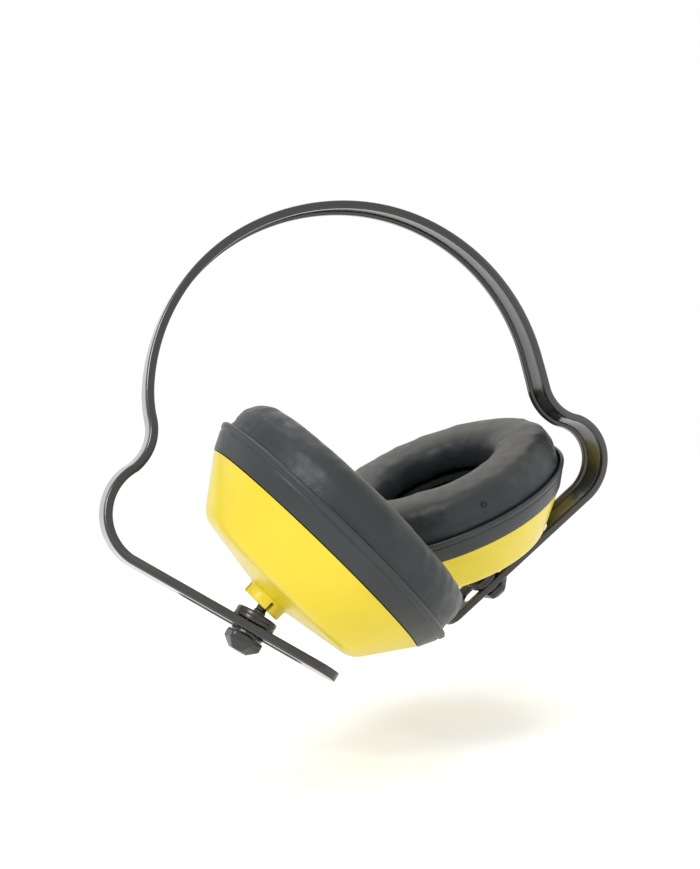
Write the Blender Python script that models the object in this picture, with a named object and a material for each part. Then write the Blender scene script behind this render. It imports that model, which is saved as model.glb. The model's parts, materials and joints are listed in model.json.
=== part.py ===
"""Ear muffs: a sprung one-piece headband, and on each arm a sliding clamp, a ball pivot and a cushioned cup.

Frame: +Z up to the crown of the headband, X across the wearer's head, Y along the width of the
headband. The origin is where the middle of the crown rests on the head. Units are metres; the
dimensions below are in millimetres and MM turns them into metres.
"""

import math

import bmesh
import bpy
from mathutils import Matrix, Vector

MM = 0.001
GAP = 0.3                      # clearance between neighbouring pieces

# Headband: arc lengths from the crown down a side, and each arc's bend in degrees; a minus bends outwards.
# Both sides are the same length. They bend a little differently, because the cups hold each other aside.
BAND_LENGTHS = (34.8, 67.1, 12.6, 19.5, 36.3)
BAND_BENDS = {"left": (26.5, 54.0, 15.0, -66.5, 116.0), "right": (26.5, 48.0, 1.0, -59.0, 122.5)}
BAND_ARM = 72.0                # straight arm below the last bend
BAND_WIDTH = 13.7
BAND_THICKNESS = 3.0
BAND_RIM = 2.2                 # width of the raised rims along the inner face
BAND_CHANNEL = 1.1             # depth of the channel between the rims
BAND_EDGE = 0.7                # rounding of the band's edges
BAND_PASS = 9.8                # sideways bend: mm off the middle plane at 100 mm of band, growing as its square
BAND_TURN = {"left": -6.0, "right": -15.5}   # degrees that each arm is turned about its own length
ARC_STEP = 6.0                 # degrees of bend for each ring of the sweep

# Adjustment slot in each arm, measured from the arm's tip
SLOT_WIDTH = 6.2
SLOT_START = 12.0
SLOT_LENGTH = 46.0
PIVOT_FROM_TIP = {"left": 32, "right": 25}   # where each clamp stands at rest

# Clamp through the slot
COLLAR_RADIUS = 7.2
COLLAR_HEIGHT = 3.2
COLLAR_CHAMFER = 0.8
STUD_RADIUS = 2.1
NECK_RADIUS = 1.8
STUD_REACH = 4.4               # how far the stud stands out behind the arm
WASHER_RADIUS = 5.6
WASHER_HEIGHT = 0.7
KNOB_FLATS = 11.4
KNOB_HEIGHT = 2.8
KNOB_CAP_HEIGHT = 2.6
KNOB_CAP_SHRINK = 0.52

# Ball pivot: distances along the cup's own axis, measured from the centre of the ball
BALL_RADIUS = 4.2
BOSS_RADIUS = 7.3
BOSS_END = -4.2
BOSS_CHAMFER = 1.2
BALL_TO_COLLAR = 7.2
MOUTH_RADIUS = 5.4
SOCKET_WALL = 2.0
SLIT_WIDTH = 1.2
SLIT_DEPTH = 3.2

# Cup: radii and distances along the cup's axis from the centre of the ball
SHELL_BACK = -0.4
SHELL_SHOULDER_RADIUS = 31.5
SHELL_SHOULDER_RISE = 3.7
SHELL_SHOULDER_ROUND = 3.6
SHELL_SEAM_RADIUS = 45.6
SHELL_SEAM = 21.0
SHELL_WALL = 2.2
LIP_RADIUS = 50.0
LIP = 30.0
LIP_WALL = 1.5
SHELF_RADIUS = 36.0
PLATE_THICKNESS = 1.5
CUSHION_RADIUS = 48.2
CUSHION_FRONT = 44.3
CUSHION_HOLE = 23.5
CUSHION_SKIN = 1.2
CUSHION_SHOULDER = 6.0
LINER_BACK = 7.4
LINER_RADIUS = 39.0
LINER_EDGE = 21.0
LINER_MIDDLE = 13.0

# Rest pose of each cup on its ball: turn of the stud about itself, then tilt of the cup, in degrees
CUP_POSE = {"left": (-15, 15), "right": (-157, 25.5)}

ROUND_STEPS = 32               # sides of the large turned pieces
SMALL_STEPS = 20               # sides of the small turned pieces

COLOURS = {
    "headband": ((0.030, 0.030, 0.028), 0.38),
    "hardware": ((0.022, 0.022, 0.022), 0.35),
    "shell": ((0.90, 0.72, 0.04), 0.28),
    "rim": ((0.045, 0.050, 0.050), 0.42),
    "cushion": ((0.050, 0.054, 0.056), 0.50),
    "foam": ((0.025, 0.026, 0.028), 0.95),
}


# ---------------------------------------------------------------- small helpers

def clear_scene():
    for thing in list(bpy.data.objects):
        bpy.data.objects.remove(thing, do_unlink=True)


def material(name):
    colour, roughness = COLOURS[name]
    made = bpy.data.materials.get(name)
    if made:
        return made
    made = bpy.data.materials.new(name)
    made.use_nodes = True
    shader = made.node_tree.nodes["Principled BSDF"]
    shader.inputs["Base Color"].default_value = (*colour, 1.0)
    shader.inputs["Roughness"].default_value = roughness
    return made


def add_object(name, mesh_data, material_name, frame):
    """Turns a bmesh drawn in millimetres into a named object standing in the given frame."""
    bmesh.ops.recalc_face_normals(mesh_data, faces=mesh_data.faces)
    bmesh.ops.scale(mesh_data, vec=(MM, MM, MM), verts=mesh_data.verts)
    mesh = bpy.data.meshes.new(name)
    mesh_data.to_mesh(mesh)
    mesh_data.free()
    mesh.shade_smooth()
    mesh.set_sharp_from_angle(angle=math.radians(35.0))
    mesh.materials.append(material(material_name))
    made = bpy.data.objects.new(name, mesh)
    bpy.context.collection.objects.link(made)
    made.parent = frame
    return made


def add_frame(name, matrix):
    """An empty that stands on a joint; the pieces that move with the joint are its children."""
    frame = bpy.data.objects.new(name, None)
    bpy.context.collection.objects.link(frame)
    frame.matrix_world = matrix
    return frame


def cut(target, cutter):
    """Subtracts the cutter from the target and hides the cutter."""
    step = target.modifiers.new("cut", "BOOLEAN")
    step.operation = "DIFFERENCE"
    step.solver = "EXACT"
    step.object = cutter
    cutter.hide_render = True
    cutter.display_type = "WIRE"


def join(target, piece):
    """Adds the piece to the target as one body and hides the piece."""
    step = target.modifiers.new("join", "BOOLEAN")
    step.operation = "UNION"
    step.solver = "EXACT"
    step.object = piece
    piece.hide_render = True
    piece.display_type = "WIRE"


def turned(outline, steps):
    """A body turned about Z from a closed outline of (radius, height) corners."""
    shape = bmesh.new()
    columns = []
    for radius, height in outline:
        if radius < 1e-6:
            columns.append([shape.verts.new((0.0, 0.0, height))] * steps)
            continue
        column = []
        for step in range(steps):
            angle = 2.0 * math.pi * step / steps
            column.append(shape.verts.new((radius * math.cos(angle), radius * math.sin(angle), height)))
        columns.append(column)
    for here, there in zip(columns, columns[1:] + columns[:1]):
        for step in range(steps):
            after = (step + 1) % steps
            corners = [here[step], here[after], there[after], there[step]]
            corners = list(dict.fromkeys(corners))
            if len(corners) > 2:
                shape.faces.new(corners)
    return shape


def arc(centre, radius, start, end, pieces):
    """Points of an arc in a turned outline; angles in degrees from the radial direction."""
    points = []
    for piece in range(pieces + 1):
        angle = math.radians(start + (end - start) * piece / pieces)
        points.append((centre[0] + radius * math.cos(angle), centre[1] + radius * math.sin(angle)))
    return points


def prism(outline, low, high):
    """A straight or tapering body between two copies of an outline in the XY plane."""
    shape = bmesh.new()
    bottom = [shape.verts.new((x, y, low)) for x, y in outline]
    top = [shape.verts.new((x, y, high)) for x, y in outline]
    shape.faces.new(bottom)
    shape.faces.new(top)
    for index in range(len(outline)):
        after = (index + 1) % len(outline)
        shape.faces.new((bottom[index], bottom[after], top[after], top[index]))
    return shape


def box(centre, size):
    cx, cy, cz = centre
    half_x, half_y, half_z = (side / 2.0 for side in size)
    outline = [(cx - half_x, cy - half_y), (cx + half_x, cy - half_y),
               (cx + half_x, cy + half_y), (cx - half_x, cy + half_y)]
    return prism(outline, cz - half_z, cz + half_z)


# ---------------------------------------------------------------- headband

def band_path(side):
    """Stations down one half of the band: (distance, x, z, heading in radians), as if on the right."""
    stations = [(0.0, 0.0, BAND_THICKNESS / 2.0, 0.0)]
    for length, bend in zip(BAND_LENGTHS, BAND_BENDS[side]):
        pieces = max(2, round(abs(bend) / ARC_STEP))
        turn = -math.radians(bend) / pieces
        run = length / pieces
        chord = run * math.sin(turn / 2.0) / (turn / 2.0)
        for _ in range(pieces):
            distance, x, z, heading = stations[-1]
            middle = heading + turn / 2.0
            stations.append((distance + run, x + chord * math.cos(middle),
                             z + chord * math.sin(middle), heading + turn))
    return stations


def sideways(distance, arm_start):
    """How far the band stands off its middle plane, and the slope, at a distance from the crown."""
    bent = min(distance, arm_start)
    offset = BAND_PASS * (bent / 100.0) ** 2
    slope = 2.0 * BAND_PASS * bent / 100.0 ** 2
    return offset + slope * (distance - bent), slope


def band_frames(side):
    """Frames down one half of the band, as if on the right: X along the band, Y across it, Z out of it."""
    path = band_path(side)
    arm_start = path[-1][0]
    distance, x, z, heading = path[-1]
    tip_steps = [BAND_ARM - BAND_WIDTH / 2.0 * (1.0 - math.sin(math.radians(a))) for a in (0, 30, 55, 75, 88)]
    for run in [BAND_ARM * 0.3, BAND_ARM * 0.6] + tip_steps:
        path.append((distance + run, x + run * math.cos(heading), z + run * math.sin(heading), heading))
    frames = []
    for distance, x, z, heading in path:
        y, slope = sideways(distance, arm_start)
        along = Vector((math.cos(heading), slope, math.sin(heading))).normalized()
        across = (Vector((0, 1, 0)) - along * along.y).normalized()
        share = min(1.0, distance / arm_start)
        across = Matrix.Rotation(math.radians(BAND_TURN[side]) * share ** 2, 3, along) @ across
        outwards = along.cross(across)
        frame = Matrix((along, across, outwards)).transposed().to_4x4()
        frame.translation = Vector((x, y, z))
        tip_distance = arm_start + BAND_ARM - distance
        frames.append((frame, tip_distance))
    return frames


def band_section():
    """The band's cross-section as (across, outwards) corners: smooth outside, a channel inside."""
    half, out, inn = BAND_WIDTH / 2.0, BAND_THICKNESS / 2.0, -BAND_THICKNESS / 2.0
    edge, rim = BAND_EDGE, half - BAND_RIM
    side = [(half - edge, out), (half - edge * 0.3, out - edge * 0.3), (half, out - edge),
            (half, inn + edge), (half - edge * 0.5, inn), (rim, inn), (rim - 0.6, inn + BAND_CHANNEL)]
    return [(-a, o) for a, o in reversed(side)] + side


def tip_share(tip_distance):
    """The share of the full width that the rounded tip keeps."""
    half = BAND_WIDTH / 2.0
    if tip_distance >= half:
        return 1.0
    return math.sqrt(max(0.0, 1.0 - ((half - tip_distance) / half) ** 2))


def arm_frame(side):
    """The frame of the clamp on one arm: X towards the tip, Y across the arm, Z in towards the head."""
    frames = [frame for frame, _ in band_frames(side)]
    last = frames[-1]
    along = last.col[0].xyz
    tip = last.translation
    inwards = -last.col[2].xyz
    across = inwards.cross(along)
    frame = Matrix((along, across, inwards)).transposed().to_4x4()
    frame.translation = (tip - along * PIVOT_FROM_TIP[side]) * MM
    if side == "left":
        frame = Matrix.Rotation(math.pi, 4, "Z") @ frame
    return frame


def make_headband():
    section = band_section()
    rings = []
    half_turn = Matrix.Rotation(math.pi, 4, "Z")
    for frame, tip_distance in reversed(band_frames("left")[1:]):
        rings.append([half_turn @ frame @ Vector((0, -a * tip_share(tip_distance), o)) for a, o in section])
    for frame, tip_distance in band_frames("right"):
        rings.append([frame @ Vector((0, a * tip_share(tip_distance), o)) for a, o in section])
    shape = bmesh.new()
    loops = [[shape.verts.new(point) for point in ring] for ring in rings]
    for here, there in zip(loops, loops[1:]):
        for index in range(len(section)):
            after = (index + 1) % len(section)
            shape.faces.new((here[index], here[after], there[after], there[index]))
    shape.faces.new(loops[0])
    shape.faces.new(loops[-1])
    band = add_object("headband", shape, "headband", None)
    for side in ("left", "right"):
        frame = add_frame("slot_frame_" + side, arm_frame(side))
        half = SLOT_WIDTH / 2.0
        first = PIVOT_FROM_TIP[side] - SLOT_START - half
        last = first - SLOT_LENGTH + SLOT_WIDTH
        outline = [(first + x, y) for x, y in arc((0, 0), half, -90, 90, 6)]
        outline += [(last + x, y) for x, y in arc((0, 0), half, 90, 270, 6)]
        cutter = add_object("slot_cutter_" + side, prism(outline, -6, 6), "headband", frame)
        cut(band, cutter)


# ---------------------------------------------------------------- clamp and ball pivot

def ball_height():
    """Distance of the ball's centre from the middle of the arm's thickness."""
    return BAND_THICKNESS / 2.0 + GAP + COLLAR_HEIGHT + BALL_TO_COLLAR


def make_collar(side, frame):
    low = BAND_THICKNESS / 2.0 + GAP
    high = low + COLLAR_HEIGHT
    bore = STUD_RADIUS + GAP
    outline = [(bore, low), (COLLAR_RADIUS, low), (COLLAR_RADIUS, high - COLLAR_CHAMFER),
               (COLLAR_RADIUS - COLLAR_CHAMFER, high), (bore, high)]
    collar = add_object("slide_collar_" + side, turned(outline, SMALL_STEPS + 8), "hardware", frame)
    lug_size = (2.6, SLOT_WIDTH - 2.0 * GAP, BAND_THICKNESS)
    for name, sign in (("front", 1), ("back", -1)):
        centre = (sign * (bore + 0.5 + lug_size[0] / 2.0), 0.0, low - BAND_THICKNESS / 2.0 + 0.5)
        lug = add_object("collar_lug_%s_%s" % (name, side), box(centre, lug_size), "hardware", frame)
        join(collar, lug)


def make_washer(side, frame):
    high = -BAND_THICKNESS / 2.0 - GAP
    low = high - WASHER_HEIGHT
    bore = STUD_RADIUS + GAP
    outline = [(bore, low), (WASHER_RADIUS, low), (WASHER_RADIUS, high), (bore, high)]
    add_object("knob_washer_" + side, turned(outline, SMALL_STEPS), "hardware", frame)


def make_knob(side, frame):
    high = -BAND_THICKNESS / 2.0 - 2.0 * GAP - WASHER_HEIGHT
    middle = high - KNOB_HEIGHT
    radius = KNOB_FLATS / 2.0 / math.cos(math.radians(30.0))
    outline = [(radius * math.cos(math.radians(60 * k)), radius * math.sin(math.radians(60 * k)))
               for k in range(6)]
    shape = prism(outline, high, middle)
    cap_face = min(shape.faces, key=lambda face: face.calc_center_median().z)
    grown = bmesh.ops.extrude_discrete_faces(shape, faces=[cap_face])["faces"][0]
    for vert in grown.verts:
        vert.co = Vector((vert.co.x * KNOB_CAP_SHRINK, vert.co.y * KNOB_CAP_SHRINK, middle - KNOB_CAP_HEIGHT))
    knob = add_object("clamp_knob_" + side, shape, "hardware", frame)
    bore = STUD_RADIUS + GAP
    depth = -BAND_THICKNESS / 2.0 - STUD_REACH - GAP
    hole = [(0.0, depth), (bore, depth), (bore, high + 1.0), (0.0, high + 1.0)]
    cutter = add_object("knob_bore_" + side, turned(hole, SMALL_STEPS - 8), "hardware", frame)
    cut(knob, cutter)


def make_stud(side, frame):
    """The ball stud, in a frame whose origin is the centre of the ball."""
    shank_top = -BALL_TO_COLLAR + 1.2
    low = -ball_height() - BAND_THICKNESS / 2.0 - STUD_REACH
    meet = math.asin(NECK_RADIUS / BALL_RADIUS)
    ball = arc((0.0, 0.0), BALL_RADIUS, -90.0 + math.degrees(meet), 90.0, 8)
    outline = [(0.0, low), (STUD_RADIUS - 0.5, low), (STUD_RADIUS, low + 0.5), (STUD_RADIUS, shank_top),
               (NECK_RADIUS, shank_top + 0.4)] + ball[:-1] + [(0.0, BALL_RADIUS)]
    add_object("ball_stud_" + side, turned(outline, SMALL_STEPS - 4), "hardware", frame)


# ---------------------------------------------------------------- cup

def shell_outside():
    """The shell's outer outline from the boss out to the seam."""
    shoulder = (SHELL_SHOULDER_RADIUS, SHELL_BACK + SHELL_SHOULDER_RISE)
    bend = SHELL_SHOULDER_ROUND
    centre = (shoulder[0] - 0.5, shoulder[1] + bend)
    rounding = arc(centre, bend, -84.0, -22.0, 4)
    return [(BOSS_RADIUS, SHELL_BACK)] + rounding + [(SHELL_SEAM_RADIUS, SHELL_SEAM)]


def make_shell(side, frame):
    outside = shell_outside()
    wall = SHELL_WALL
    socket = BALL_RADIUS + GAP
    dome = socket + SOCKET_WALL
    mouth = -2.6
    boss = [(BOSS_RADIUS - BOSS_CHAMFER, BOSS_END), (BOSS_RADIUS, BOSS_END + BOSS_CHAMFER)]
    inside = [(SHELL_SEAM_RADIUS - wall, SHELL_SEAM), (SHELL_SHOULDER_RADIUS - 0.6, SHELL_BACK + 6.2 + wall),
              (SHELL_SHOULDER_RADIUS - 3.4, SHELL_BACK + SHELL_SHOULDER_RISE + wall)]
    dome_start = math.degrees(math.asin((SHELL_BACK + wall + 0.3) / dome))
    dome_arc = arc((0.0, 0.0), dome, dome_start, 90.0, 4)[:-1] + [(0.0, dome)]
    socket_end = math.degrees(math.asin(mouth / socket))
    socket_arc = [(0.0, socket)] + arc((0.0, 0.0), socket, 90.0, socket_end, 7)[1:]
    outline = boss + outside + inside + dome_arc + socket_arc + [(MOUTH_RADIUS, BOSS_END)]
    shell = add_object("cup_shell_" + side, turned(outline, ROUND_STEPS), "shell", frame)
    for name, angle in (("a", 0.0), ("b", 90.0)):
        size = (4.0 * BOSS_RADIUS, SLIT_WIDTH, 2.0 * SLIT_DEPTH)
        slit = add_object("boss_slit_%s_%s" % (name, side), box((0, 0, BOSS_END), size), "shell", frame)
        slit.rotation_euler = (0.0, 0.0, math.radians(angle + 45.0))
        cut(shell, slit)


def make_rim(side, frame):
    low = SHELL_SEAM + GAP
    shelf = LIP - 3.6
    foot = SHELL_SEAM_RADIUS + 0.4
    outline = [(foot - 2.6, low), (foot, low), (LIP_RADIUS - 0.5, LIP - 1.6), (LIP_RADIUS, LIP - 0.8),
               (LIP_RADIUS - 0.4, LIP), (LIP_RADIUS - LIP_WALL + 0.2, LIP), (LIP_RADIUS - LIP_WALL, LIP - 0.6),
               (LIP_RADIUS - LIP_WALL - 0.9, shelf), (SHELF_RADIUS, shelf), (SHELF_RADIUS, shelf - 1.6),
               (foot - 3.4, shelf - 2.2)]
    add_object("cup_rim_" + side, turned(outline, ROUND_STEPS), "rim", frame)


def plate_top():
    return LIP - 3.6 + GAP + PLATE_THICKNESS


def make_plate(side, frame):
    low = plate_top() - PLATE_THICKNESS
    outer = LIP_RADIUS - LIP_WALL - 0.9 - GAP
    inner = CUSHION_HOLE + 1.0
    outline = [(inner, low), (outer, low), (outer, low + PLATE_THICKNESS), (inner, low + PLATE_THICKNESS)]
    add_object("cushion_plate_" + side, turned(outline, ROUND_STEPS), "rim", frame)


def cushion_outline(inset, low):
    """The outline of the cushion ring's skin, set in by a distance, from the outer foot to the inner foot."""
    bend = CUSHION_SHOULDER - inset
    outer = CUSHION_RADIUS - inset
    inner = CUSHION_HOLE + inset
    shoulder = arc((CUSHION_RADIUS - CUSHION_SHOULDER, CUSHION_FRONT - CUSHION_SHOULDER), bend, 0.0, 90.0, 3)
    lip_round = arc((CUSHION_HOLE + 5.0, CUSHION_FRONT - 5.0), 5.0 - inset, 90.0, 180.0, 3)
    return [(outer - 0.9, low), (outer, low + 3.0)] + shoulder + lip_round + [(inner, low)]


def make_cushion(side, frame):
    low = plate_top() + GAP
    skin = cushion_outline(0.0, low)
    lining = cushion_outline(CUSHION_SKIN, low)
    cover = skin + list(reversed(lining))
    add_object("cushion_cover_" + side, turned(cover, ROUND_STEPS), "cushion", frame)
    filling = cushion_outline(CUSHION_SKIN + GAP, low)
    add_object("cushion_foam_" + side, turned(filling, ROUND_STEPS - 8), "foam", frame)


def make_liner(side, frame):
    outline = [(0.0, LINER_BACK), (LINER_RADIUS - 10.0, LINER_BACK), (LINER_RADIUS, LINER_EDGE - 1.0),
               (LINER_RADIUS - 3.0, LINER_EDGE), (LINER_RADIUS * 0.55, LINER_MIDDLE + 1.6), (0.0, LINER_MIDDLE)]
    add_object("liner_foam_" + side, turned(outline, ROUND_STEPS - 8), "foam", frame)


# ---------------------------------------------------------------- assembly

def make_side(side):
    arm = arm_frame(side)
    slider = add_frame("slider_frame_" + side, arm)
    make_collar(side, slider)
    make_washer(side, slider)
    make_knob(side, slider)
    turn, tilt = CUP_POSE[side]
    centre = Matrix.Translation(Vector((0.0, 0.0, ball_height() * MM)))
    stud = add_frame("stud_frame_" + side, arm @ centre @ Matrix.Rotation(math.radians(turn), 4, "Z"))
    make_stud(side, stud)
    cup = add_frame("cup_frame_" + side, stud.matrix_world @ Matrix.Rotation(math.radians(tilt), 4, "Y"))
    make_shell(side, cup)
    make_rim(side, cup)
    make_plate(side, cup)
    make_cushion(side, cup)
    make_liner(side, cup)


clear_scene()
make_headband()
for which in ("left", "right"):
    make_side(which)
bpy.context.view_layer.update()
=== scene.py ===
"""Hearing protection earmuffs: the finished look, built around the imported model."""
import json
import math

import bmesh
import bpy
from mathutils import Matrix, Vector, noise


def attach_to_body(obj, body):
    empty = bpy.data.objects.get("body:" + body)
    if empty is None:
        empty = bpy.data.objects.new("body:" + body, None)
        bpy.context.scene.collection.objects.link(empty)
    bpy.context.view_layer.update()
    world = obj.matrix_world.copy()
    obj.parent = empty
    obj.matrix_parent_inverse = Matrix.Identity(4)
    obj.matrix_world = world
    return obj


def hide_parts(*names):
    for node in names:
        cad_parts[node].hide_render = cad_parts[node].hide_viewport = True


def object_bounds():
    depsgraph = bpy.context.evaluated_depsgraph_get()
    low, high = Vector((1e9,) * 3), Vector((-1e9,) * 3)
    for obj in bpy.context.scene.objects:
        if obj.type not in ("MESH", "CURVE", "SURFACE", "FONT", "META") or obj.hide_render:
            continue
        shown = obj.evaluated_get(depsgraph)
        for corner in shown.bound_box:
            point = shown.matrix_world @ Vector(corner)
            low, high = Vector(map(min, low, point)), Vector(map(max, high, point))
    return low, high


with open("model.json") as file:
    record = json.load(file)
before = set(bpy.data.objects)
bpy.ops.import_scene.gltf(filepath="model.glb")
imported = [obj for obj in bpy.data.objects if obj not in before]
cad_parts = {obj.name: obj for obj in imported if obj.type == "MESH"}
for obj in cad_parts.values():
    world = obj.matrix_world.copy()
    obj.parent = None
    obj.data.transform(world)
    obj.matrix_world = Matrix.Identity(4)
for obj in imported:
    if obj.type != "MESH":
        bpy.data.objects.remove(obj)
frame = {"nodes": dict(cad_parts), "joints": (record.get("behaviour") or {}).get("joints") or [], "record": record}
cad_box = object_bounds()
joints = {joint["name"]: joint for joint in frame["joints"]}
mounts = {mount["name"]: mount for mount in frame["record"]["mounts"]}

# Sizes are in millimetres and angles in degrees, unless a comment says otherwise.
MM = 0.001                      # metres in a millimetre
SIDES = ("left", "right")
SHARP = math.radians(40.0)      # an edge sharper than this stays crisp
ROUND_STEPS = 144               # faces round a turned body
SOFT_STEPS = 96                 # faces round a collar, a cushion or a lining
VENT_STEPS = 32
CORNER_SHARE = 0.45             # the share of an edge that a rounded corner may take
ON_AXIS = 1e-6                  # a radius below this is on the axis

# camera: place in metres
CAMERA_PLACE = (-0.10544, -0.45876, -0.09068)
CAMERA_TURN = (91.172, 4.907, -12.775)
CAMERA_LENS = 53.855
CAMERA_NEAR = 0.02

# stage: (name, place in metres, size in metres, power in watts) for each light
LIGHTS = (
    ("key", (-0.55, -0.65, 0.55), 0.3, 4.2),
    ("fill", (0.75, -0.45, 0.15), 0.6, 0.6),
    ("top", (0.1, 0.25, 0.75), 0.5, 1.4),
)
LIGHT_TARGET = (0.0, 0.0, -0.09)
WHITE = (1.0, 1.0, 1.0, 1.0)
FLOOR_DROP = 0.03               # metres from the lowest point down to the floor
FLOOR_HALF = 4000.0
FLOOR_GLOW = 0.09
FLOOR_TONES = ((0.90, 0.90, 0.90), (0.93, 0.93, 0.93))

# headband, as in the CAD model
BAND_LENGTHS = (34.8, 67.1, 12.6, 19.5, 36.3)
BAND_BENDS = {
    "left": (26.5, 54.0, 15.0, -66.5, 116.0),
    "right": (26.5, 48.0, 1.0, -59.0, 122.5),
}
BAND_ARM = 72.0
BAND_WIDTH = 13.7
BAND_THICKNESS = 3.0
BAND_PASS = 9.8                 # sideways, at BAND_PASS_AT along the band from the crown
BAND_PASS_AT = 100.0
BAND_TURN = {"left": -6.0, "right": -15.5}      # twist about its own run, in full at the arm
BAND_STEP = 2.0                 # bend of one piece of the band
BEND_PIECES = 4                 # the fewest pieces in a bend
ARM_PIECES = 8
TIP_STEP = 6                    # degrees between stations round the tip
TIP_GAP = 0.01
CHANNEL_DEPTH = 1.1
CHANNEL_EDGE = (2.2, 2.8)       # the channel's wall, from the band's edge inwards
CROWN = (0.4, 0.02)             # the outside's flat part, in half widths, and its height
BAND_CORNERS = (0.5, 0.3, 0.3, 0.3, 0.3, 0.5, 0.9, 1.0, 1.0, 0.9)
PIVOT_FROM_TIP = {"left": 32.0, "right": 25.0}  # the clamp at rest
SLOT_WIDTH = 6.2
SLOT_START = 12.0               # from the arm's tip
SLOT_LENGTH = 46.0
SLOT_LAYERS = ((-2.5, 1.4), (-1.1, 0.0), (0.1, 0.0), (2.5, 1.3))    # (height, wider by)
SLOT_POINTS = range(0, 181, 15)     # points round one end of the slot, in degrees

# clamp: outlines are (radius, height) points, with the height towards the head
COLLAR_OUTLINE = (
    (2.4, 1.8), (7.2, 1.8), (7.2, 3.1), (7.0, 3.3), (7.2, 3.5), (7.2, 5.0), (2.4, 5.0),
)
COLLAR_CORNERS = (0.2, 0.4, 0.1, 0.1, 0.1, 0.7, 0.2)
LUG_OFFSET = 4.2
LUG_HEIGHT = 0.8
LUG_SIZE = (2.6, 5.6, 3.0)
KNOB_FLATS = 11.4
KNOB_STEPS = 72
KNOB_CORNER = 1.125             # the corners' radius, in half widths across the flats
KNOB_RINGS = (                  # (scale, height)
    (0.93, -2.8), (0.98, -3.0), (1.0, -3.4), (1.0, -5.3),
    (0.97, -5.7), (0.56, -7.85), (0.5, -8.15), (0.3, -8.2),
)

# cup: heights are along the cup's axis from the ball's centre
SHELL_OUTLINE = (
    (5.4, -4.2), (7.3, -4.2), (7.3, -0.4), (32.9, 3.6), (45.6, 21.0),
    (43.4, 21.0), (30.9, 8.2), (28.0, 5.7), (6.4, 2.0), (4.6, 4.6),
    (0.0, 6.5), (0.0, 4.5), (3.2, 3.2), (4.5, 0.0), (3.7, -2.6),
)
SHELL_CORNERS = (
    0.3, 0.7, 1.0, 3.6, 0.35,
    0.3, 2.0, 1.0, 0.5, 1.0,
    0.0, 0.0, 1.0, 1.0, 0.4,
)
SLIT_ANGLES = (45.0, 135.0)     # slits across the boss
SLIT_PLACE = (0.0, 0.0, -4.2)
SLIT_SIZE = (29.0, 1.2, 6.4)
RIM_OUTLINE = (
    (43.4, 21.3), (46.0, 21.3), (48.85, 27.0), (48.65, 27.5), (49.45, 28.0),
    (50.0, 29.2), (49.6, 30.0), (48.7, 30.0), (48.5, 29.4), (47.6, 26.4),
    (36.0, 26.4), (36.0, 24.8), (42.6, 24.2),
)
RIM_CORNER = 0.3

# cushion
CUSHION_LOW = 28.9
CUSHION_FRONT = 43.9
CUSHION_OUTER = 47.8
CUSHION_HOLE = 24.4
CUSHION_TAPER = 0.6             # the foot's inset from the outside
CUSHION_CORNERS = (1.0, 1.0, 0.5, 5.6, 5.0)
CUSHION_RUN = 3.0               # longest run of the outline between two points
CUSHION_FOOT = 31.5             # below this height the cushion is inside the rim, and held
CUSHION_IN_RIM = 48.1           # the furthest out that it may reach there
CUSHION_SIDE = 48.0             # the side wall's radius
CUSHION_STRAIGHT = 37.5         # the side wall is straight up to this height
OUTER_WALL = 40.0               # points outside this radius belong to the side wall
VOXEL = 3.6
SWELL_LIMIT = 0.9               # the furthest that a point may move in the simulation
SWELL_PRESSURE = 4.0
SWELL_QUALITY = 6
SWELL_FRAMES = 20
HELD_FADE = (1.5, 2.5)          # the hold ends this far above the foot, over this height
RELAX = {"factor": 0.5, "iterations": 3}
DIVIDE = {"levels": 1, "render_levels": 1}
SKIN_SIDE = (0.022, 0.027, 0.029)
SKIN_FRONT = (0.031, 0.028, 0.022)
SKIN_DULL = 0.62                # the side's darker patches
SKIN_WORN = 1.5                 # the front's paler patches
SKIN_CHANGE = (40.5, 44.2)      # the skin turns from side to front colour between these heights

# creases of the cushion
CREASE_SEED = {"left": 1.7, "right": 5.3}
PUCKER_RING = (2.5, 4.0)        # the puckers' distance outside the hole, and their reach
PUCKER_DEPTH = 0.85
PUCKER_SINK = 0.25              # how far the ring of puckers sinks as a whole
PUCKER_TURN = 3.2               # how fast the puckers change round the hole
PUCKERS = ((0.6, 1.0), (1.7, 0.4))      # (scale, share)
EDGE_DEPTH = 0.5                # unevenness of the hole's edge
EDGE_SCALE = 2.0
EDGE_CLIMB = 0.12               # how fast it changes up the hole's wall
WAVE_DEPTH = 0.30               # shallow dents all over the front
WAVE_SCALE = 0.055
WAVE_SEED = 7.0
FRONT_FADE = (36.0, 6.0)        # the front's creases start at this height and grow over this much
SEAM = (32.3, 0.55, 0.45)       # the welded seam's height, half width and depth
SIDE_RIPPLE = 0.08              # height of the side wall's faint ripples
SIDE_TURN = 4.0                 # how fast they change round the side
SIDE_CLIMB = 0.2                # how fast they change up the side
SIDE_PULL = 0.9                 # the share of the way that the side wall is pulled straight
FOOT_SLACK = 0.2                # how far the foot may sink into the plate

# vent
VENT_ANGLE = {"left": 80.0, "right": -100.0}
VENT_HEIGHT = 36.4
VENT_OUTLINE = ((0.0, -0.6), (1.25, -0.6), (1.25, 0.16), (0.8, 0.2), (0.6, -0.25), (0.0, -0.3))
VENT_CORNER = 0.1

# lining
LINER_OUTLINE = ((0.0, 8.0), (28.4, 8.0), (38.4, 19.6), (36.0, 21.0), (21.5, 15.0), (0.0, 13.6))
LINER_CORNER = 1.0
LINER_RUN = 1.6                 # longest run of the outline between two points
LINER_SEED = {"left": 31.0, "right": 84.0}
LINER_BACK = 12.0               # below this height the lining isn't crumpled
LINER_FADE = 2.0
LINER_EDGE = (36.5, 4.0)        # the crumples end at this radius, over this much
RIDGE = (0.085, 2.6, 2.2)       # the folds' scale, height and sharpness
FINE_FOLD = (0.24, 0.8)         # the small folds' scale and height


# ---------------------------------------------------------------- materials

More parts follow.
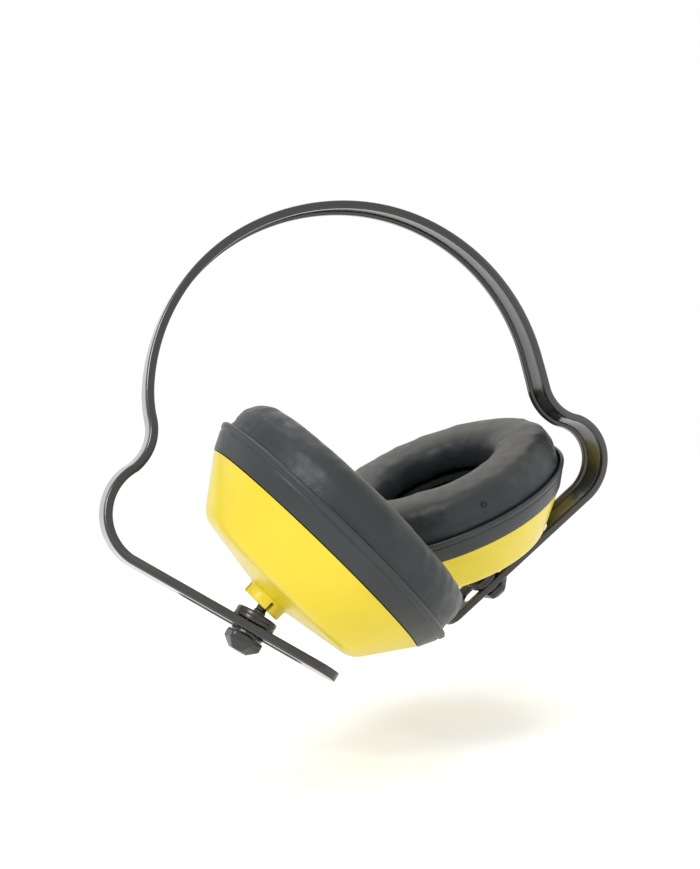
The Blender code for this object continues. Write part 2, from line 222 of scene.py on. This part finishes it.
def wire(tree, node, sources, values):
    """Links the node's sockets to those sources, and sets its others to those values."""
    for name, source in sources.items():
        tree.links.new(source, node.inputs[name])
    for name, value in values.items():
        node.inputs[name].default_value = value


def add_noise(tree, place, scale, detail=4.0, roughness=0.55):
    """Cloudy noise, with its scale in cells per metre."""
    made = tree.nodes.new("ShaderNodeTexNoise")
    wire(tree, made, {"Vector": place}, {"Scale": scale, "Detail": detail, "Roughness": roughness})
    return made.outputs["Fac"]


def add_range(tree, source, given, wanted=(0.0, 1.0)):
    """Moves a value from the given range to the wanted one."""
    made = tree.nodes.new("ShaderNodeMapRange")
    wire(tree, made, {"Value": source}, {
        "From Min": given[0], "From Max": given[1], "To Min": wanted[0], "To Max": wanted[1]})
    return made.outputs["Result"]


def add_mix(tree, factor, first, second):
    """Mixes two colours, each a tuple or another node's output."""
    made = tree.nodes.new("ShaderNodeMix")
    made.data_type = "RGBA"
    for name, colour in (("A", first), ("B", second)):
        if isinstance(colour, tuple):
            made.inputs[name].default_value = (*colour, 1.0)
        else:
            tree.links.new(colour, made.inputs[name])
    tree.links.new(factor, made.inputs["Factor"])
    return made.outputs["Result"]


def add_bump(tree, height, strength, distance, below=None):
    """Relief of that distance in metres, on top of the relief below."""
    made = tree.nodes.new("ShaderNodeBump")
    sources = {"Height": height} if below is None else {"Height": height, "Normal": below}
    wire(tree, made, sources, {"Strength": strength, "Distance": distance})
    return made.outputs["Normal"]


def start_material(name):
    """A new material, its tree, its shader and the object's own coordinates."""
    made = bpy.data.materials.new(name)
    made.use_nodes = True
    tree = made.node_tree
    place = tree.nodes.new("ShaderNodeTexCoord").outputs["Object"]
    return made, tree, tree.nodes["Principled BSDF"], place


def plastic(name, colour, deep, rough, grain, coat=0.0, coat_rough=0.22):
    """Moulded plastic: cloudy colour, uneven gloss, a fine moulded grain and faint long ripples."""
    made, tree, shader, place = start_material(name)
    cloud = add_range(tree, add_noise(tree, place, scale=38.0), (0.3, 0.72))
    specks = add_noise(tree, place, scale=900.0, detail=2.0)
    speck = add_range(tree, specks, (0.62, 0.78), (0.0, 0.35))
    base = add_mix(tree, cloud, colour, deep)
    gloss = add_noise(tree, place, scale=130.0, detail=5.0)
    waves = add_noise(tree, place, scale=60.0, detail=2.0)
    ripple = add_bump(tree, waves, strength=0.10, distance=0.0006)
    grains = add_noise(tree, place, scale=grain, detail=3.0)
    wire(tree, shader, {
        "Base Color": add_mix(tree, speck, base, deep),
        "Roughness": add_range(tree, gloss, (0.25, 0.75), rough),
        "Normal": add_bump(tree, grains, strength=0.16, distance=0.00012, below=ripple),
    }, {"Coat Weight": coat, "Coat Roughness": coat_rough})
    return made


def height_along(tree, place, axis):
    """How far a point is along that axis, in metres."""
    made = tree.nodes.new("ShaderNodeVectorMath")
    made.operation = "DOT_PRODUCT"
    made.inputs[1].default_value = axis
    tree.links.new(place, made.inputs[0])
    return made.outputs["Value"]


def pebbles(tree, place):
    """The small rounded cells of a leather grain."""
    made = tree.nodes.new("ShaderNodeTexVoronoi")
    made.feature = "DISTANCE_TO_EDGE"
    wire(tree, made, {"Vector": place}, {"Scale": 1050.0})
    return add_range(tree, made.outputs["Distance"], (0.0, 0.25))


def vinyl(name, side_colour, front_colour, axis, change):
    """Cushion skin: leather grain and creases, and a warmer colour on the front, where it rests on the head."""
    made, tree, shader, place = start_material(name)
    front = add_range(tree, height_along(tree, place, axis), change)
    cloud = add_range(tree, add_noise(tree, place, scale=55.0, detail=5.0), (0.3, 0.7))
    dull = tuple(SKIN_DULL * value for value in side_colour)
    worn = tuple(SKIN_WORN * value for value in front_colour)
    side = add_mix(tree, cloud, side_colour, dull)
    face = add_mix(tree, cloud, front_colour, worn)
    gloss = add_noise(tree, place, scale=220.0)
    folds = add_noise(tree, place, scale=95.0, detail=6.0, roughness=0.65)
    creases = add_bump(tree, folds, strength=0.07, distance=0.0007)
    cells = pebbles(tree, place)
    wire(tree, shader, {
        "Base Color": add_mix(tree, front, side, face),
        "Roughness": add_range(tree, gloss, (0.3, 0.7), (0.36, 0.52)),
        "Normal": add_bump(tree, cells, strength=0.16, distance=0.00012, below=creases),
    }, {"Specular IOR Level": 0.38, "Sheen Weight": 0.03})
    return made


def foam(name, colour, lit):
    """Open-cell foam: fine pores and soft folds."""
    made, tree, shader, place = start_material(name)
    pores = add_noise(tree, place, scale=1400.0, detail=3.0)
    shade = add_range(tree, pores, (0.35, 0.65))
    waves = add_noise(tree, place, scale=120.0, detail=5.0)
    folds = add_bump(tree, waves, strength=0.6, distance=0.002)
    wire(tree, shader, {
        "Base Color": add_mix(tree, shade, colour, lit),
        "Normal": add_bump(tree, pores, strength=0.7, distance=0.0004, below=folds),
    }, {"Roughness": 0.9, "Sheen Weight": 0.25})
    return made


YELLOW = plastic("yellow shell", (0.72, 0.575, 0.014), (0.67, 0.515, 0.012), (0.26, 0.38),
                 grain=2400.0, coat=0.1)
DARK_RIM = plastic("dark rim", (0.020, 0.025, 0.026), (0.015, 0.019, 0.020), (0.34, 0.46),
                   grain=3000.0)
DARK_BAND = plastic("band plastic", (0.015, 0.015, 0.013), (0.009, 0.009, 0.008), (0.16, 0.28),
                    grain=2600.0, coat=0.5, coat_rough=0.10)
DARK_KNOB = plastic("clamp plastic", (0.018, 0.018, 0.020), (0.010, 0.010, 0.011), (0.20, 0.32),
                    grain=2600.0, coat=0.2)
# near black all over: painted shade standing in for the depth of the vent's hole, which is only a shallow dip
VENT_HOLE_SHADE = plastic("vent eyelet painted shade", (0.003, 0.003, 0.003), (0.002, 0.002, 0.002), (0.50, 0.70),
                    grain=2600.0)
DARK_FOAM = foam("lining foam", (0.010, 0.010, 0.011), (0.030, 0.030, 0.032))


# ---------------------------------------------------------------- shape helpers

def limited(value):
    """The value, kept between 0 and 1."""
    return max(0.0, min(1.0, value))


def rounded(outline, radii, pieces=4):
    """A closed outline with its corners replaced by short curves, apart from points on the axis.

    radii is one size for every corner, or one for each."""
    points = [Vector(point) for point in outline]
    sizes = radii if isinstance(radii, tuple) else [radii] * len(points)
    out = []
    for index, (here, size) in enumerate(zip(points, sizes)):
        if abs(here.x) < ON_AXIS:
            out.append(here)
            continue
        back = points[index - 1] - here
        ahead = points[(index + 1) % len(points)] - here
        start = here + back.normalized() * min(size, CORNER_SHARE * back.length)
        end = here + ahead.normalized() * min(size, CORNER_SHARE * ahead.length)
        for step in range(pieces + 1):
            t = step / pieces
            out.append(start * (1 - t) ** 2 + here * 2 * t * (1 - t) + end * t ** 2)
    return out


def dense(outline, longest):
    """The closed outline with its long runs divided, so that a turned body has even faces."""
    out = []
    for here, there in zip(outline, outline[1:] + outline[:1]):
        parts = max(1, math.ceil((there - here).length / longest))
        out += [here.lerp(there, part / parts) for part in range(parts)]
    return out


def turned(outline, steps=ROUND_STEPS):
    """A body turned about Z from a closed outline of (radius, height) points."""
    shape = bmesh.new()
    turns = [2.0 * math.pi * step / steps for step in range(steps)]
    columns = []
    for radius, height in outline:
        if radius < ON_AXIS:
            columns.append([shape.verts.new((0.0, 0.0, height))] * steps)
            continue
        points = [(radius * math.cos(turn), radius * math.sin(turn), height) for turn in turns]
        columns.append([shape.verts.new(point) for point in points])
    for here, there in zip(columns, columns[1:] + columns[:1]):
        for step in range(steps):
            after = (step + 1) % steps
            corners = list(dict.fromkeys([here[step], here[after], there[after], there[step]]))
            if len(corners) > 2:
                shape.faces.new(corners)
    return shape


def loft(loops):
    """A body through loops of points, with flat ends."""
    shape = bmesh.new()
    rings = [[shape.verts.new(point) for point in loop] for loop in loops]
    for here, there in zip(rings, rings[1:]):
        for index in range(len(here)):
            after = (index + 1) % len(here)
            shape.faces.new((here[index], here[after], there[after], there[index]))
    shape.faces.new(rings[0])
    shape.faces.new(rings[-1])
    return shape


def add_box(shape, centre, size):
    matrix = Matrix.Translation(Vector(centre)) @ Matrix.Diagonal(Vector((*size, 1.0)))
    bmesh.ops.create_cube(shape, size=1.0, matrix=matrix)


def smooth(mesh):
    """Smooth shading, with crisp edges kept."""
    mesh.shade_smooth()
    mesh.set_sharp_from_angle(angle=SHARP)


def make_piece(name, shape, place, material):
    """Turns a bmesh drawn in millimetres into an object standing at that place, in metres."""
    bmesh.ops.recalc_face_normals(shape, faces=shape.faces)
    mesh = bpy.data.meshes.new(name)
    shape.to_mesh(mesh)
    shape.free()
    mesh.transform(place @ Matrix.Scale(MM, 4))
    smooth(mesh)
    mesh.materials.append(material)
    made = bpy.data.objects.new(name, mesh)
    bpy.context.scene.collection.objects.link(made)
    return made


def bake(piece):
    """Applies the piece's modifiers."""
    graph = bpy.context.evaluated_depsgraph_get()
    mesh = bpy.data.meshes.new_from_object(piece.evaluated_get(graph))
    piece.modifiers.clear()
    piece.data = mesh


def modify(piece, kind, **settings):
    """Adds a modifier with those settings and applies it."""
    step = piece.modifiers.new(kind.lower(), kind)
    for name, value in settings.items():
        setattr(step, name, value)
    bake(piece)


def cut(piece, cutters):
    """Subtracts the cutters from the piece and removes them."""
    for cutter in cutters:
        step = piece.modifiers.new("cut", "BOOLEAN")
        step.solver = "EXACT"
        step.object = cutter
    bake(piece)
    for cutter in cutters:
        bpy.data.objects.remove(cutter, do_unlink=True)
    smooth(piece.data)


def attach(piece, body, slot, *nodes):
    """Rides the piece on a body and lets it stand for those nodes, which it hides. The slot is not used."""
    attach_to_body(piece, body)
    if nodes:
        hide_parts(*nodes)


# ---------------------------------------------------------------- places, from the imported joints

def frame_from(x_axis, z_axis, place):
    """A place with its Z along that axis, and its X as near as can be to the other."""
    z_axis = Vector(z_axis).normalized()
    y_axis = z_axis.cross(Vector(x_axis)).normalized()
    made = Matrix((y_axis.cross(z_axis), y_axis, z_axis)).transposed().to_4x4()
    made.translation = Vector(place)
    return made


def arm_place(side):
    """X towards the arm's tip, Z in towards the head, at the clamp."""
    slide = joints["slide_" + side]
    return frame_from(slide["axis"], joints["knob_turn_" + side]["axis"], slide["pos_m"])


def cup_place(side):
    """Z along the cup's axis towards the head, at the centre of the ball."""
    tilt = joints["tilt_" + side]
    forward = Vector(mounts["ear_face_" + side]["axis"])
    return frame_from(Vector(tilt["axis"]).cross(forward), forward, tilt["pos_m"])


# ---------------------------------------------------------------- headband

def band_stations(side):
    """Stations down one half of the band, as if on the right, and where its arm starts.

    A station is (distance along the band, x, z, heading in radians)."""
    stations = [(0.0, 0.0, BAND_THICKNESS / 2.0, 0.0)]
    for length, bend in zip(BAND_LENGTHS, BAND_BENDS[side]):
        pieces = max(BEND_PIECES, round(abs(bend) / BAND_STEP))
        turn = -math.radians(bend) / pieces
        run = length / pieces
        for _ in range(pieces):
            distance, x, z, heading = stations[-1]
            middle = heading + turn / 2.0
            stations.append((distance + run, x + run * math.cos(middle), z + run * math.sin(middle),
                             heading + turn))
    distance, x, z, heading = stations[-1]
    half = BAND_WIDTH / 2.0
    runs = [(BAND_ARM - half) * part / ARM_PIECES for part in range(1, ARM_PIECES)]
    tip_turns = [math.radians(angle) for angle in range(0, 90, TIP_STEP)]
    runs += [BAND_ARM - half * (1.0 - math.sin(turn)) for turn in tip_turns]
    runs.append(BAND_ARM - TIP_GAP)
    for run in runs:
        stations.append((distance + run, x + run * math.cos(heading), z + run * math.sin(heading),
                         heading))
    return stations, distance


def band_frames(side):
    """Frames down one half of the band, each with the share of the full width that it has there.

    X is along the band, Y across it and Z out of it."""
    stations, arm_start = band_stations(side)
    half = BAND_WIDTH / 2.0
    for distance, x, z, heading in stations:
        bent = min(distance, arm_start)
        slope = 2.0 * BAND_PASS * bent / BAND_PASS_AT ** 2
        y = BAND_PASS * (bent / BAND_PASS_AT) ** 2 + slope * (distance - bent)
        along = Vector((math.cos(heading), slope, math.sin(heading))).normalized()
        across = (Vector((0, 1, 0)) - along * along.y).normalized()
        share = min(1.0, distance / arm_start)
        across = Matrix.Rotation(math.radians(BAND_TURN[side]) * share ** 2, 3, along) @ across
        made = Matrix((along, across, along.cross(across))).transposed().to_4x4()
        made.translation = Vector((x, y, z))
        to_tip = arm_start + BAND_ARM - distance
        width = 1.0 if to_tip >= half else math.sqrt(1.0 - ((half - to_tip) / half) ** 2)
        yield made, width


def band_section():
    """The band's cross-section as (across, outwards) points: crowned outside, a channel inside."""
    half = BAND_WIDTH / 2.0
    out = BAND_THICKNESS / 2.0
    wall, floor = CHANNEL_EDGE
    flat, rise = CROWN
    inside = [(-half, -out), (-half + wall, -out), (-half + floor, -out + CHANNEL_DEPTH),
              (half - floor, -out + CHANNEL_DEPTH), (half - wall, -out), (half, -out)]
    outside = [(half, out), (flat * half, out + rise), (-flat * half, out + rise), (-half, out)]
    return rounded(inside + outside, BAND_CORNERS, pieces=3)


def slot_cutter(side, place):
    """A slotted hole with chamfered edges, as a body to cut away."""
    half = SLOT_WIDTH / 2.0
    first = PIVOT_FROM_TIP[side] - SLOT_START - half
    last = first - SLOT_LENGTH + SLOT_WIDTH
    turns = [(first, angle - 90) for angle in SLOT_POINTS]
    turns += [(last, angle + 90) for angle in SLOT_POINTS]
    loops = []
    for height, wider in SLOT_LAYERS:
        radius = half + wider
        loops.append([(centre + radius * math.cos(math.radians(angle)),
                       radius * math.sin(math.radians(angle)), height) for centre, angle in turns])
    return make_piece("slot_cutter_" + side, loft(loops), place, DARK_BAND)


def make_headband():
    """The whole band in one loft, from the left arm's tip over the crown to the right one's."""
    section = band_section()
    half_turn = Matrix.Rotation(math.pi, 4, "Z")
    left = [[half_turn @ made @ Vector((0, -across * width, out)) for across, out in section]
            for made, width in band_frames("left")]
    right = [[made @ Vector((0, across * width, out)) for across, out in section]
             for made, width in band_frames("right")]
    loops = list(reversed(left[1:])) + right
    band = make_piece("headband_fine", loft(loops), Matrix.Identity(4), DARK_BAND)
    cut(band, [slot_cutter(side, arm_place(side)) for side in SIDES])
    attach(band, "headband", "headband", "headband")


# ---------------------------------------------------------------- clamp

def make_collar(side, place):
    """The collar inside the arm, with its two lugs in the slot."""
    shape = turned(rounded(COLLAR_OUTLINE, COLLAR_CORNERS), SOFT_STEPS)
    for offset in (-LUG_OFFSET, LUG_OFFSET):
        add_box(shape, (offset, 0.0, LUG_HEIGHT), LUG_SIZE)
    collar = make_piece("collar_fine_" + side, shape, place, DARK_KNOB)
    attach(collar, "slider_" + side, "hardware", "slide_collar_" + side)


def hexagon(scale, height):
    """A loop round a hexagon with softened corners."""
    half = KNOB_FLATS / 2.0
    loop = []
    for step in range(KNOB_STEPS):
        angle = 360.0 * step / KNOB_STEPS
        off = (angle + 30.0) % 60.0 - 30.0
        radius = min(half / math.cos(math.radians(30.0 - abs(off))), half * KNOB_CORNER)
        turn = math.radians(angle)
        loop.append((scale * radius * math.cos(turn), scale * radius * math.sin(turn), height))
    return loop


def make_knob(side, place):
    """The domed knob outside the arm."""
    shape = loft([hexagon(scale, height) for scale, height in KNOB_RINGS])
    knob = make_piece("knob_fine_" + side, shape, place, DARK_KNOB)
    attach(knob, "knob_" + side, "hardware", "clamp_knob_" + side)


# ---------------------------------------------------------------- cup

def slit_cutter(place, angle):
    """A slit across the boss, as a body to cut away."""
    shape = bmesh.new()
    add_box(shape, SLIT_PLACE, SLIT_SIZE)
    turn = Matrix.Rotation(math.radians(angle), 4, "Z")
    return make_piece("slit_cutter", shape, place @ turn, YELLOW)


def make_shell(side, place):
    """The cup's shell, with its socket for the ball in a slit boss."""
    shape = turned(rounded(SHELL_OUTLINE, SHELL_CORNERS, pieces=6))
    shell = make_piece("shell_fine_" + side, shape, place, YELLOW)
    cut(shell, [slit_cutter(place, angle) for angle in SLIT_ANGLES])
    attach(shell, "cup_" + side, "shell", "cup_shell_" + side)


def make_rim(side, place):
    """The flared ring round the cup's mouth."""
    shape = turned(rounded(RIM_OUTLINE, RIM_CORNER, pieces=3))
    rim = make_piece("rim_fine_" + side, shape, place, DARK_RIM)
    attach(rim, "cup_" + side, "rim", "cup_rim_" + side)


def cushion_start():
    """The cushion before it swells: a ring with a rounded shoulder and a soft inner edge."""
    outline = [(CUSHION_HOLE, CUSHION_LOW), (CUSHION_OUTER - CUSHION_TAPER, CUSHION_LOW),
               (CUSHION_OUTER, CUSHION_FOOT), (CUSHION_OUTER, CUSHION_FRONT),
               (CUSHION_HOLE, CUSHION_FRONT)]
    return turned(dense(rounded(outline, CUSHION_CORNERS, pieces=8), CUSHION_RUN), SOFT_STEPS)


def hold_foot(piece, place):
    """A vertex group that holds the cushion where it is inside the rim."""
    inverse = place.inverted()
    above, fade = HELD_FADE
    held = piece.vertex_groups.new(name="held")
    for vert in piece.data.vertices:
        height = (inverse @ vert.co).z / MM
        held.add([vert.index], limited((CUSHION_FOOT + above - height) / fade), "REPLACE")
    return held.name


def swell(piece, place):
    """Lets the cushion swell under pressure, with its foot held."""
    cloth = piece.modifiers.new("swell", "CLOTH")
    cloth.settings.vertex_group_mass = hold_foot(piece, place)
    cloth.settings.use_pressure = True
    cloth.settings.uniform_pressure_force = SWELL_PRESSURE
    cloth.settings.effector_weights.gravity = 0.0
    cloth.settings.quality = SWELL_QUALITY
    scene = bpy.context.scene
    before = [vert.co.copy() for vert in piece.data.vertices]
    for number in range(1, SWELL_FRAMES + 1):
        scene.frame_set(number)
    bake(piece)
    scene.frame_set(1)
    limit = SWELL_LIMIT * MM
    for vert, start in zip(piece.data.vertices, before):
        move = vert.co - start
        if move.length > limit:
            vert.co = start + move.normalized() * limit


def front_shift(x, y, z, seed):
    """How far the puckers and dents move a point: (outwards, along the axis)."""
    radius = math.hypot(x, y)
    angle = math.atan2(y, x)
    distance, reach = PUCKER_RING
    near_hole = math.exp(-((radius - CUSHION_HOLE - distance) / reach) ** 2)
    low, fade = FRONT_FADE
    front = limited((z - low) / fade)
    spot = Vector((PUCKER_TURN * math.cos(angle), PUCKER_TURN * math.sin(angle), seed))
    pucker = sum(share * noise.noise(spot * scale) for scale, share in PUCKERS)
    wave = noise.noise(Vector((x, y, seed * WAVE_SEED)) * WAVE_SCALE)
    along = PUCKER_DEPTH * near_hole * pucker + WAVE_DEPTH * wave - PUCKER_SINK * near_hole
    rough = noise.noise(spot * EDGE_SCALE + Vector((0.0, 0.0, z * EDGE_CLIMB)))
    return EDGE_DEPTH * near_hole * rough, front * along


def side_shift(x, y, z, seed):
    """How far outwards the seam, the straight wall and its ripples move a point of the side."""
    radius = math.hypot(x, y)
    if radius <= OUTER_WALL:
        return 0.0
    height, half, depth = SEAM
    shift = -depth * math.exp(-((z - height) / half) ** 2)
    if z < CUSHION_STRAIGHT:
        shift += SIDE_PULL * (CUSHION_SIDE - radius)
    if z > CUSHION_FOOT:
        angle = math.atan2(y, x)
        spot = Vector((SIDE_TURN * math.cos(angle), SIDE_TURN * math.sin(angle),
                       z * SIDE_CLIMB + seed))
        shift += SIDE_RIPPLE * noise.noise(spot)
    return shift


def keep_in_rim(point):
    """The nearest place for a point of the foot that is clear of the rim and the plate."""
    radius = math.hypot(point.x, point.y)
    kept = point.copy()
    if point.z < CUSHION_FOOT and radius > CUSHION_IN_RIM:
        kept.x *= CUSHION_IN_RIM / radius
        kept.y *= CUSHION_IN_RIM / radius
    kept.z = max(kept.z, CUSHION_LOW - FOOT_SLACK)
    return kept


def crease(piece, place, seed):
    """Puckers round the hole, soft dents on the front and a shallow welded seam at the foot."""
    inverse = place.inverted()
    for vert in piece.data.vertices:
        point = (inverse @ vert.co) / MM
        outwards, along = front_shift(*point, seed)
        outwards += side_shift(*point, seed)
        share = 1.0 + outwards / math.hypot(point.x, point.y)
        moved = Vector((point.x * share, point.y * share, point.z + along))
        vert.co = place @ (keep_in_rim(moved) * MM)


def make_cushion(side, place):
    """The ring cushion: cover and filling in one soft body."""
    axis = place.col[2].xyz
    middle = axis.dot(place.translation)
    change = [middle + height * MM for height in SKIN_CHANGE]
    skin = vinyl("cushion skin " + side, SKIN_SIDE, SKIN_FRONT, axis, change)
    pad = make_piece("cushion_soft_" + side, cushion_start(), place, skin)
    modify(pad, "REMESH", mode="VOXEL", voxel_size=VOXEL * MM)
    swell(pad, place)
    modify(pad, "SMOOTH", **RELAX)
    modify(pad, "SUBSURF", **DIVIDE)
    crease(pad, place, CREASE_SEED[side])
    modify(pad, "SUBSURF", **DIVIDE)
    pad.data.shade_smooth()
    pad.data.materials.clear()
    pad.data.materials.append(skin)
    attach(pad, "cup_" + side, "cushion", "cushion_cover_" + side, "cushion_foam_" + side)


def make_vent(side, place):
    """A small eyelet in the cushion's side, near black all over: painted shade standing in for the depth of its
    hole.
    """
    angle = math.radians(VENT_ANGLE[side])
    outwards = Vector((math.cos(angle), math.sin(angle), 0.0))
    centre = (outwards * CUSHION_SIDE + Vector((0.0, 0.0, VENT_HEIGHT))) * MM
    eye = frame_from((0.0, 0.0, 1.0), outwards, centre)
    shape = turned(rounded(VENT_OUTLINE, VENT_CORNER, pieces=2), VENT_STEPS)
    vent = make_piece("vent_" + side, shape, place @ eye, VENT_HOLE_SHADE)
    attach(vent, "cup_" + side, "cushion")


def crumple(x, y, z, seed):
    """How far the lining's folds lift a point."""
    spot = Vector((x, y, seed))
    scale, height, sharpness = RIDGE
    fine_scale, fine_height = FINE_FOLD
    ridge = 1.0 - sharpness * abs(noise.noise(spot * scale))
    edge, fade = LINER_EDGE
    share = min(1.0, (z - LINER_BACK) / LINER_FADE) * limited((edge - math.hypot(x, y)) / fade)
    return share * (height * ridge + fine_height * noise.noise(spot * fine_scale))


def make_liner(side, place):
    """The crumpled foam lining in the cup."""
    outline = rounded(LINER_OUTLINE, LINER_CORNER, pieces=2)
    shape = turned(dense(outline, LINER_RUN), SOFT_STEPS)
    for vert in shape.verts:
        if vert.co.z >= LINER_BACK:
            vert.co.z += crumple(*vert.co, LINER_SEED[side])
    lining = make_piece("liner_soft_" + side, shape, place, DARK_FOAM)
    attach(lining, "cup_" + side, "foam", "liner_foam_" + side)


# ---------------------------------------------------------------- stage

def make_camera(scene):
    camera = bpy.data.objects.new("camera", bpy.data.cameras.new("camera"))
    scene.collection.objects.link(camera)
    camera.location = CAMERA_PLACE
    camera.rotation_euler = [math.radians(angle) for angle in CAMERA_TURN]
    camera.data.lens = CAMERA_LENS
    camera.data.clip_start = CAMERA_NEAR
    scene.camera = camera


def make_floor():
    material, tree, shader, place = start_material("pale floor")
    tone = add_range(tree, add_noise(tree, place, scale=3.0), (0.2, 0.8))
    wire(tree, shader, {"Base Color": add_mix(tree, tone, *FLOOR_TONES)}, {
        "Roughness": 0.8, "Emission Color": WHITE, "Emission Strength": FLOOR_GLOW})
    shape = bmesh.new()
    bmesh.ops.create_grid(shape, x_segments=1, y_segments=1, size=FLOOR_HALF)
    low = Matrix.Translation((0.0, 0.0, cad_box[0][2] - FLOOR_DROP))
    make_piece("floor", shape, low, material)


def make_world(scene):
    world = bpy.data.worlds.new("studio")
    world.use_nodes = True
    sky = world.node_tree.nodes["Background"]
    wire(world.node_tree, sky, {}, {"Color": WHITE, "Strength": 1.0})
    scene.world = world


def add_light(scene, name, place, size, power):
    data = bpy.data.lights.new(name, "AREA")
    data.energy = power
    data.size = size
    made = bpy.data.objects.new(name, data)
    scene.collection.objects.link(made)
    made.location = place
    towards = Vector(LIGHT_TARGET) - Vector(place)
    made.rotation_euler = towards.to_track_quat("-Z", "Y").to_euler()


def make_stage():
    scene = bpy.context.scene
    scene.view_settings.view_transform = "Standard"
    make_camera(scene)
    make_floor()
    make_world(scene)
    for light in LIGHTS:
        add_light(scene, *light)


# ---------------------------------------------------------------- everything

KEPT_NODES = (("knob_washer_", DARK_KNOB), ("ball_stud_", DARK_KNOB), ("cushion_plate_", DARK_RIM))


def finish_kept_nodes(side):
    """Gives the CAD nodes that stay their materials."""
    for name, material in KEPT_NODES:
        kept = frame["nodes"][name + side]
        kept.data.materials.clear()
        kept.data.materials.append(material)


make_stage()
make_headband()
for side in SIDES:
    arm = arm_place(side)
    make_collar(side, arm)
    make_knob(side, arm)
    cup = cup_place(side)
    for make in (make_shell, make_rim, make_cushion, make_vent, make_liner):
        make(side, cup)
    finish_kept_nodes(side)

bpy.context.view_layer.update()
